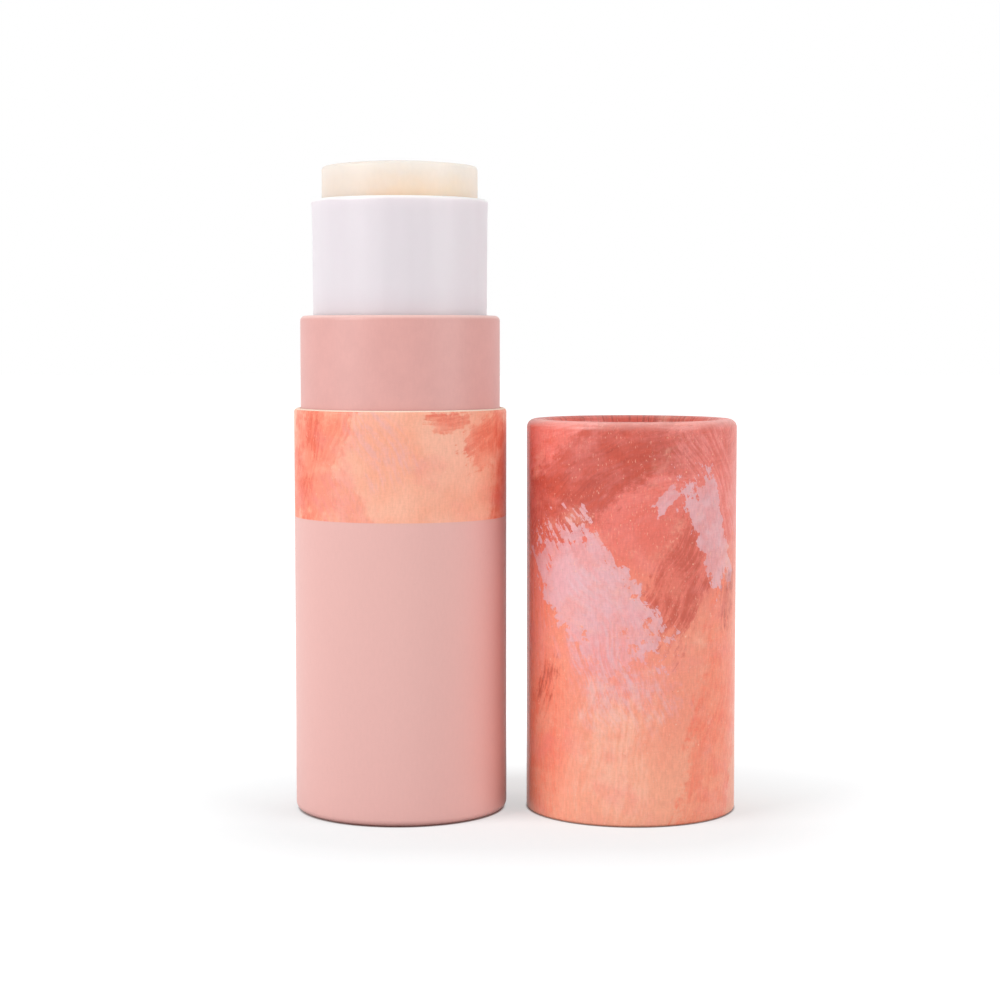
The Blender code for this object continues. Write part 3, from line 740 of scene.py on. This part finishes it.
# Strokes of the washes: two colours, strength, middle (across, up), lean in degrees, half length
# and half width in millimetres, and how torn, soft and dry the stroke is
CAP_STROKES = [
    (ROSE, PINK_ROSE, 0.95, (-2, 46), 8, 26, 8.0, {"soft": 0.4}),
    (DEEP_ROSE, BRICK, 0.90, (-7, 43), 32, 13, 5.2, {"torn": 0.6, "soft": 0.2, "dry": 0.5}),
    (DEEP_ROSE, BRICK, 0.75, (6, 46), 18, 9, 2.8, {"torn": 0.7, "soft": 0.4, "dry": 0.7}),
    (PINK_ROSE, ROSE, 0.85, (13, 42), -56, 9, 4.6, {"soft": 0.35}),
    (CORAL, ORANGE, 0.90, (15, 22), 78, 12, 5.6, {"torn": 0.6, "soft": 0.2}),
    (CORAL, PINK_ROSE, 0.75, (-16, 26), 86, 11, 4.5, {"soft": 0.5}),
    (DEEP_ROSE, ROSE, 0.90, (6, 31), 62, 8.5, 3.6, {"torn": 0.7, "soft": 0.2, "dry": 0.6}),
    (LILAC, PALE_LILAC, 0.96, (-6, 28.5), 126, 9.5, 5.2, {"torn": 0.72, "soft": 0.03}),
    (LILAC, PINK_ROSE, 0.85, (-3, 19.5), 112, 6.5, 5.0, {"torn": 0.7, "soft": 0.5, "dry": 0.7}),
    (LILAC, PALE_LILAC, 0.94, (10.5, 36.5), 118, 6.4, 3.0, {"torn": 0.75, "soft": 0.03}),
    (LILAC, PALE_LILAC, 0.85, (3.5, 39.5), 40, 1.5, 0.8, {"torn": 0.8, "soft": 0.05}),
    (BRICK, DEEP_ROSE, 0.75, (14.5, 28.5), 84, 3.2, 1.5, {"torn": 1.1, "soft": 0.5, "dry": 0.9}),
    (CORAL, SALMON, 0.80, (-14, 9), 96, 8.0, 5.0, {"soft": 0.45}),
    (BRICK, CORAL, 0.65, (-13.5, 17), 70, 3.0, 1.4, {"torn": 1.1, "soft": 0.4, "dry": 0.9}),
    (PALE_PEACH, PEACH, 0.60, (-3, 9), 80, 7.5, 4.6, {"soft": 0.5}),
    (CORAL, ORANGE, 0.80, (11, 6), 70, 8.5, 4.6, {"torn": 0.6, "soft": 0.12}),
    (LILAC, PALE_LILAC, 0.90, (33, 24), 60, 12.0, 6.0, {"torn": 0.7}),
    (DEEP_ROSE, ROSE, 0.75, (-33, 32), 48, 11.0, 5.0, {"torn": 0.7, "soft": 0.2, "dry": 0.6}),
]

BAND_STROKES = [
    (CORAL, ORANGE, 0.85, (-11.5, 46), 74, 8.5, 4.6, {"torn": 0.6, "soft": 0.15}),
    (VERMILION, CORAL, 0.90, (-15, 45), 80, 8.0, 3.4, {"torn": 0.8, "soft": 0.3, "dry": 0.5}),
    (SALMON, PINK_ROSE, 0.75, (-7.5, 40.0), 116, 4.5, 3.6, {"torn": 0.6, "soft": 0.3}),
    (LILAC, PEACH, 0.45, (-2.0, 46.5), 118, 4.4, 3.0, {"torn": 0.6, "soft": 0.45}),
    (VERMILION, CORAL, 0.80, (6.5, 50.3), 8, 2.6, 1.3, {"torn": 0.9, "soft": 0.15}),
    (VERMILION, CORAL, 0.75, (14, 48.5), 24, 5.0, 2.8, {"torn": 0.8, "soft": 0.15}),
    (VERMILION, CORAL, 0.85, (18.5, 42), 84, 8.0, 4.0, {"torn": 0.6, "soft": 0.3}),
    (CORAL, ROSE, 0.80, (36, 45), 60, 9.0, 5.0, {"torn": 0.6}),
]

# Specks in the washes: colour, cells to a millimetre, radius, and the share of cells with one
CAP_SPECKS = ((PALE_PEACH, 1.0, 0.14, 0.5), (DEEP_ROSE, 1.4, 0.12, 0.3))
BAND_SPECKS = ((PALE_PEACH, 1.0, 0.13, 0.4),)

# The cap's ground colour goes from peach by salmon to rose, at heights that drift up and down
CAP_DRIFT_REACH = 26.0
SALMON_HEIGHTS = (2, 16)
ROSE_HEIGHTS = (20, 38)

# The base's band has a ground of two peach tones, and a nearly sharp printed edge
BAND_PALE_COVER = (0.35, 0.65, 0.0, 0.6)
BAND_EDGE_BLUR = 0.05

# How deep the grain of each paper is, in colour and as bumps
CAP_GRAIN = 1.2
BASE_GRAIN = 0.2
NECK_GRAIN = 0.25
CAP_BUMP = 0.012
BASE_BUMP = 0.010
NECK_BUMP = 0.012

# Creases where the cap's paper is rolled in, with painted shade along them: width, darkness of the
# painted shade, depth, and how far in they start
CREASE_WIDTH = 0.035
CREASE_SHADE = 0.25
CREASE_DEPTH = 3.0
CREASES_INWARD = (0.9, 1.5)

# A thin clear varnish over the printed papers, glossier on the cap
CAP_VARNISH = {"Coat_Weight": 0.32, "Coat_Roughness": 0.18, "Specular_IOR_Level": 0.12}
BASE_VARNISH = {"Coat_Weight": 0.08, "Coat_Roughness": 0.25, "Specular_IOR_Level": 0.25}
NECK_VARNISH = {"Coat_Weight": 0.15, "Coat_Roughness": 0.30, "Specular_IOR_Level": 0.45}

# Painted highlights where the paper bends sharply, a pale tint laid over the print: from and to
# these depths, and the cover there
FOLD_HIGHLIGHT = paint(255, 222, 214)
CAP_FOLD_HIGHLIGHT = (1.3, 0.1, 0.0, 0.25)
CAP_FOLD_INWARD = (1.3, 0.6)
NECK_FOLD_HIGHLIGHT = (0.5, 0.1, 0.0, 0.50)

# The neck's paper is one pink, faintly mottled
NECK_TONES = (0.3, 0.7, 0.98, 1.02)

# Uncoated board and paper
BOARD_MOTTLE = (4.0, 0.6, 0.6)
BOARD_TONED = (0.25, 0.75)
BOARD_ROUGH = (0.2, 0.8)
BOARD_ROUGHNESS_SWING = 0.06

# Moulded plastic, and on the barrel one side painted lighter as if light passed through it, and a
# painted pinkish shade at its foot near the neck
PLASTIC_TONES = (0.35, 0.65, 0.98, 1.02)
PLASTIC_ROUGHNESS = (0.3, 0.7, 0.34, 0.40)
PLASTIC_BUMP = 0.006
PLASTIC_LOOK = {
    "Subsurface_Radius": (1.0, 0.9, 0.95),
    "Subsurface_Scale": 2.4 * MM,
    "Specular_IOR_Level": 0.6,
}
BARREL_LIT_SIDE_TONES = (-1.0, 7.0, 1.0, 1.05)
BARREL_FOOT_SHADE = (-4.0, 0.0, 0.0, 0.3)

# Balm: a painted warm glow below its top near its middle, as of light passing through, a painted
# shade at the crown, and one side painted darker and the other lighter
WARM_SWING = 3.0
WARM_DEPTHS = (1.2, 4.6)
WARM_MIDDLE = 2
WARM_ASIDE = (9.0, 3.0, 0.35, 1.0)
CROWN_SHADE_TONES = (1.2, 0.3, 1.0, 0.92)
WAX_LIT_SIDE_TONES = (-8.0, 8.0, 0.93, 1.09)
FLOW_TONES = (0.3, 0.7, 0.99, 1.01)
FLOW_ROUGHNESS = (0.3, 0.7, 0.42, 0.52)
FLOW_BUMP = 0.010
WAX_LOOK = {
    "Subsurface_Weight": 0.8,
    "Subsurface_Radius": (1.0, 0.85, 0.7),
    "Subsurface_Scale": 5.0 * MM,
}


def creased(net, flat, up, inward, colour, height):
    """(colour, height) with creases and painted shade in them where the cap's paper is rolled in,
    and a painted highlight along its fold.
    """
    off_line = net.calc("SUBTRACT", net.pattern(flat, *CAP_CREASES), NOISE_MIDDLE)
    crease = net.ease(net.calc("ABSOLUTE", off_line), CREASE_WIDTH, 0.0)
    crease = net.calc("MULTIPLY", crease, net.ease(inward, *CREASES_INWARD))
    # Painted shade in the creases
    shade = net.calc("SUBTRACT", 1.0, net.calc("MULTIPLY", crease, CREASE_SHADE))
    height = net.calc("SUBTRACT", height, net.calc("MULTIPLY", crease, CREASE_DEPTH))
    # A painted highlight along the rolled fold
    fold = net.ease_below(up, cap_height, *CAP_FOLD_HIGHLIGHT)
    fold = net.calc("MULTIPLY", fold, net.ease(inward, *CAP_FOLD_INWARD))
    return net.blend(fold, net.tone(colour, shade), FOLD_HIGHLIGHT), height


def make_cap_print(name, level=False):
    """The cap's wash, laid round it and on over its rolled edge, or level on the closed end."""
    net = Net(name)
    if level:
        flat = net.vector("MULTIPLY", net.place, (1 / MM, 1 / MM, 0))
        flat = net.vector("ADD", flat, (-cap_x / MM, cap_height / MM, 0))
        _, up, _ = net.split(flat)
    else:
        across, up, inward = unrolled(net, cap_x, cap_radius)
        flat = net.point(across, net.calc("ADD", up, inward))
    drifting = net.swing(net.pattern(flat, *CAP_DRIFT), CAP_DRIFT_REACH, up)
    ground = net.blend(net.ease(drifting, *SALMON_HEIGHTS), PEACH, SALMON)
    ground = net.blend(net.ease(drifting, *ROSE_HEIGHTS), ground, ROSE)
    colour, patches = painted(net, flat, ground, CAP_STROKES)
    for specks in CAP_SPECKS:
        colour = specked(net, flat, patches, colour, *specks)
    colour = dashed(net, flat, patches, colour, PALE_PEACH)
    colour, roughness, height = grained(net, flat, colour, CAP_GRAIN)
    if not level:
        colour, height = creased(net, flat, up, inward, colour, height)
    return net.surface(colour, roughness, height, CAP_BUMP, **CAP_VARNISH)


def make_base_print():
    """Plain dusty pink, with a painted band above a straight printed edge."""
    net = Net("base_print")
    across, up, _ = unrolled(net, base_x, base_radius)
    flat = net.point(across, up)
    pale = net.ease(net.pattern(flat, *BAND_DRIFT), *BAND_PALE_COVER)
    band, patches = painted(net, flat, net.blend(pale, PEACH, PALE_PEACH), BAND_STROKES)
    for specks in BAND_SPECKS:
        band = specked(net, flat, patches, band, *specks)
    band = dashed(net, flat, patches, band, PALE_PEACH)
    band, roughness, height = grained(net, flat, band)
    plain, _, _ = grained(net, flat, DUSTY_PINK, BASE_GRAIN)
    edge = net.ease(up, BAND_BOTTOM / MM - BAND_EDGE_BLUR, BAND_BOTTOM / MM + BAND_EDGE_BLUR)
    colour = net.blend(edge, plain, band)
    return net.surface(colour, roughness, height, BASE_BUMP, **BASE_VARNISH)


def make_neck_print():
    """Plain pink, with a painted highlight along the fold at the top."""
    net = Net("neck_print")
    across, up, _ = unrolled(net, base_x, neck_radius)
    flat = net.point(across, up)
    pink = net.tone(NECK_PINK, net.ease(net.pattern(flat, *NECK_MOTTLE), *NECK_TONES))
    # A painted highlight along the fold at the top
    pink = net.blend(net.ease_below(up, neck_top, *NECK_FOLD_HIGHLIGHT), pink, FOLD_HIGHLIGHT)
    colour, roughness, height = grained(net, flat, pink, NECK_GRAIN)
    return net.surface(colour, roughness, height, NECK_BUMP, **NECK_VARNISH)


def make_fibrous(name, colour, tones, depth, roughness):
    """Uncoated board or paper: mottled, with short fibres."""
    net = Net(name)
    place = net.millimetres()
    fibres = net.pattern(place, *BOARD_FIBRES)
    both = net.weigh(MOTTLE_SHARE, net.noise(place, *BOARD_MOTTLE), fibres)
    shade = net.tone(colour, net.ease(both, *BOARD_TONED, *tones))
    high, low = roughness + BOARD_ROUGHNESS_SWING, roughness - BOARD_ROUGHNESS_SWING
    return net.surface(shade, net.ease(both, *BOARD_ROUGH, high, low), both, depth)


def make_plastic(name, colour, scatter, shade=None):
    """Moulded plastic with a faint upright haze. shade may alter the colour from place to place."""
    net = Net(name)
    place = net.millimetres()
    haze = net.pattern(place, *PLASTIC_HAZE)
    tint = net.tone(colour, net.ease(haze, *PLASTIC_TONES))
    if shade:
        tint = shade(net, tint, place)
    roughness = net.ease(haze, *PLASTIC_ROUGHNESS)
    look = {"Subsurface_Weight": scatter, **PLASTIC_LOOK}
    return net.surface(tint, roughness, haze, PLASTIC_BUMP, **look)


def barrel_shade(net, tint, place):
    """A painted highlight on the thin rim, one side painted lighter as if light passed through, and
    a painted pinkish shade at the foot near the neck.
    """
    x, _, up = net.split(place)
    # Painted light: one side lighter, as if light passed through the plastic
    tint = net.tone(tint, net.ease(net.calc("SUBTRACT", x, base_x / MM), *BARREL_LIT_SIDE_TONES))
    # Painted shade: a pinkish darkening at the foot near the neck
    foot = net.ease_below(up, neck_top, *BARREL_FOOT_SHADE)
    # Painted highlight along the rim
    rim = net.ease_below(up, barrel_top, BARREL_RIM_ROUND / MM, 0.0)
    return net.blend(rim, net.blend(foot, tint, PLASTIC_PINK_SHADE), PLASTIC_RIM_HIGHLIGHT)


def make_wax():
    """Cast balm: soft, slightly see-through, with a painted warm glow low down, a painted shade at
    the crown, one side painted lighter than the other, and faint flow marks.
    """
    net = Net("balm_wax")
    place = net.millimetres()
    x, _, up = net.split(place)
    aside = net.calc("SUBTRACT", x, base_x / MM)
    flow = net.pattern(place, *WAX_FLOW)
    off_warm = net.calc("ABSOLUTE", net.calc("SUBTRACT", aside, WARM_MIDDLE))
    drifting = net.swing(net.pattern(place, *WAX_CLOUD), WARM_SWING, up)
    # Painted warm glow, as of light passing through, below the top near the middle
    warm_glow = net.ease_below(drifting, balm_top, *WARM_DEPTHS)
    warm_glow = net.calc("MULTIPLY", warm_glow, net.ease(off_warm, *WARM_ASIDE))
    colour = net.blend(warm_glow, WAX, WAX_GLOW)
    # Painted shade at the crown
    colour = net.tone(colour, net.ease_below(up, balm_top, *CROWN_SHADE_TONES))
    # Painted light: one side darker and the other lighter
    brightness = net.ease(aside, *WAX_LIT_SIDE_TONES)
    brightness = net.calc("MULTIPLY", brightness, net.ease(flow, *FLOW_TONES))
    colour = net.tone(colour, brightness)
    return net.surface(colour, net.ease(flow, *FLOW_ROUGHNESS), flow, FLOW_BUMP, **WAX_LOOK)


# Camera, light and floor


def make_camera():
    """The camera at the photograph's viewpoint."""
    data = bpy.data.cameras.new("camera")
    data.lens = FOCAL_PIXELS * SENSOR_WIDTH / IMAGE_SIZE
    data.sensor_width = SENSOR_WIDTH
    camera = bpy.data.objects.new("camera", data)
    camera.location = CAMERA_PLACE
    camera.rotation_euler = (math.pi / 2 - CAMERA_PITCH, 0, 0)
    bpy.context.scene.collection.objects.link(camera)
    bpy.context.scene.camera = camera


def seen_ray(tree):
    """One for rays from the camera and for mirrored and passed ones, which see the background."""
    path = tree.nodes.new("ShaderNodeLightPath")
    total = path.outputs["Is Camera Ray"]
    for name in ("Is Glossy Ray", "Is Transmission Ray"):
        either = tree.nodes.new("ShaderNodeMath")
        either.operation = "MAXIMUM"
        tree.links.new(total, either.inputs[0])
        tree.links.new(path.outputs[name], either.inputs[1])
        total = either.outputs[0]
    return total


def make_floor():
    """A pale floor that shows as white, with the object's shadow kept on it and a painted contact
    shadow under the pieces.
    """
    mesh = bpy.data.meshes.new("floor")
    sides = (-1, -1), (1, -1), (1, 1), (-1, 1)
    corners = [(x * FLOOR_REACH, y * FLOOR_REACH, 0) for x, y in sides]
    mesh.from_pydata(corners, [], [(0, 1, 2, 3)])
    floor = bpy.data.objects.new("floor", mesh)
    bpy.context.scene.collection.objects.link(floor)
    made = bpy.data.materials.new("floor_white")
    made.use_nodes = True
    tree = made.node_tree
    tree.nodes.clear()

    def shader(kind, **values):
        node = tree.nodes.new("ShaderNode" + kind)
        for key, value in values.items():
            node.inputs[key].default_value = value
        return node

    def ramp(start, end, low, high):
        node = shader("MapRange")
        for key, value in enumerate((start, end, low, high), 1):
            node.inputs[key].default_value = value
        return node

    matt = shader("BsdfDiffuse")
    shade = [FLOOR_ALBEDO * FLOOR_SHADOW_SHARE * tone for tone in FLOOR_SHADOW_TONE]
    shadow = shader("BsdfDiffuse", Color=(*shade, 1))
    glow = shader("Emission")
    place = shader("TexCoord")
    white = ramp(FLOOR_NEAR, FLOOR_FAR, FLOOR_WHITE_NEAR, FLOOR_WHITE_FAR)

    def step(operation, first, second=(0, 0, 0)):
        node = shader("VectorMath")
        node.operation = operation
        node.inputs[1].default_value = second
        tree.links.new(first, node.inputs[0])
        return node.outputs["Value" if operation == "LENGTH" else "Vector"]

    # The floor whitens away from a line that runs just in front of the stick and the cap
    offset = step("ABSOLUTE", step("ADD", place.outputs["Object"], (0, FLOOR_LINE_FORWARD, 0)))
    beyond = step("MAXIMUM", step("SUBTRACT", offset, ((cap_x - base_x) / 2, 0, 0)))
    tree.links.new(step("LENGTH", beyond), white.inputs[0])

    # Painted contact shadow: the floor's white and its albedo darken towards a dark tint close to
    # the pieces
    def painted_contact_shadow(target, reach, colour):
        near = shader("AmbientOcclusion", Distance=reach)
        near.samples = CONTACT_SAMPLES
        share = ramp(CONTACT_OPENNESS, 1.0, 0.0, 1.0)
        tint = shader("Mix")
        tint.data_type = "RGBA"
        tint.inputs[6].default_value = (*CONTACT_SHADOW_TINT, 1)
        tint.inputs[7].default_value = (*(colour,) * 3, 1)
        tree.links.new(near.outputs["AO"], share.inputs[0])
        tree.links.new(share.outputs[0], tint.inputs[0])
        tree.links.new(tint.outputs[2], target)

    painted_contact_shadow(glow.inputs["Color"], CONTACT_SEEN_REACH, 1.0)
    painted_contact_shadow(matt.inputs["Color"], CONTACT_BOUNCE_REACH, FLOOR_ALBEDO)
    tree.links.new(white.outputs[0], glow.inputs["Strength"])
    shown = shader("AddShader")
    mixed = shader("MixShader")
    out = shader("OutputMaterial")
    tree.links.new(shadow.outputs[0], shown.inputs[0])
    tree.links.new(glow.outputs[0], shown.inputs[1])
    tree.links.new(seen_ray(tree), mixed.inputs[0])
    tree.links.new(matt.outputs[0], mixed.inputs[1])
    tree.links.new(shown.outputs[0], mixed.inputs[2])
    tree.links.new(mixed.outputs[0], out.inputs["Surface"])
    mesh.materials.append(made)


def make_world():
    """An even world that lights softly, and that shows as white where it is seen."""
    world = bpy.data.worlds.new("studio")
    world.use_nodes = True
    tree = world.node_tree
    background = tree.nodes["Background"]
    background.inputs["Color"].default_value = (1, 1, 1, 1)
    strength = tree.nodes.new("ShaderNodeMapRange")
    strength.inputs["To Min"].default_value = WORLD_LIGHT
    strength.inputs["To Max"].default_value = WORLD_SEEN
    tree.links.new(seen_ray(tree), strength.inputs["Value"])
    tree.links.new(strength.outputs[0], background.inputs["Strength"])
    bpy.context.scene.world = world


def make_softboxes():
    """Area lamps round the pieces, each facing the same point."""
    for index, (turn, rise, distance, width, height, power) in enumerate(SOFTBOXES):
        turn, rise = math.radians(turn), math.radians(rise)
        level = math.cos(rise)
        facing = Vector((math.sin(turn) * level, -math.cos(turn) * level, math.sin(rise)))
        data = bpy.data.lights.new(f"softbox_{index}", "AREA")
        data.shape = "RECTANGLE"
        data.size, data.size_y, data.energy = width, height, power
        lamp = bpy.data.objects.new(data.name, data)
        lamp.location = SOFTBOX_AIM + facing * distance
        lamp.rotation_euler = (-facing).to_track_quat("-Z", "Y").to_euler()
        bpy.context.scene.collection.objects.link(lamp)


def dress(item, body, slot, materials, *nodes):
    """Gives a piece its materials and its body, and hides the solids that it stands in for. slot is
    not used.
    """
    for made in materials:
        item.data.materials.append(made)
    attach(item, body)
    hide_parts(*nodes)


def finish_solid(made, *names):
    """Puts a material on solids that are kept as they are."""
    for name in names:
        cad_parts[name].data.materials[0] = made


bpy.context.scene.view_settings.view_transform = "Standard"
make_camera()
make_world()
make_softboxes()
make_floor()

base_print = make_base_print()
neck_print = make_neck_print()
cap_print = make_cap_print("cap_print")
cap_end_print = make_cap_print("cap_end_print", level=True)
paper_back = make_fibrous("paper_back", PAPER_BACK, (0.96, 1.03), depth=0.015, roughness=0.8)
board = make_fibrous("cream_board", BOARD, (0.93, 1.05), depth=0.03, roughness=0.85)
lining = make_fibrous("lining_paper", CREAM, (0.97, 1.03), depth=0.015, roughness=0.7)
cut_edge = make_fibrous("cut_edge", CUT_EDGE, (0.96, 1.03), depth=0.02, roughness=0.8)
barrel_plastic = make_plastic("barrel_plastic", PLASTIC, scatter=0.7, shade=barrel_shade)
white_plastic = make_plastic("white_plastic", PLASTIC, scatter=0.3)
wax = make_wax()

dress(make_base_wrap(), "base", "base_paper", [base_print, paper_back], "base_wrap")
dress(make_base_board(), "base", "cream_board", [cut_edge], "base_tube")
base_end = make_disc("base_end_facing", "base_end_paper")
dress(base_end, "base", "base_paper", [base_print], "base_end_paper")
dress(make_neck_wrap(), "barrel", "neck_paper", [neck_print, paper_back], "neck_wrap")
dress(make_barrel(), "barrel", "barrel_plastic", [barrel_plastic], "barrel")
dress(make_balm(), "elevator", "balm", [wax], "balm")
dress(make_cap_wrap(), "cap", "cap_paper", [cap_print, paper_back], "cap_wrap")
dress(make_cap_board(), "cap", "cream_board", [cut_edge], "cap_tube")
cap_lining = make_tube("cap_lining", "cap_liner", CAP_PAPER)
dress(cap_lining, "cap", "liner_paper", [lining], "cap_liner")
cap_end = make_disc("cap_end_facing", "cap_end_paper")
dress(cap_end, "cap", "cap_paper", [cap_end_print], "cap_end_paper")
cap_floor = make_disc("cap_floor", "cap_end_disc")
dress(cap_floor, "cap", "cream_board", [board], "cap_end_disc")
finish_solid(board, "base_end_disc", "neck_tube")
finish_solid(white_plastic, "drive_screw", "elevator")
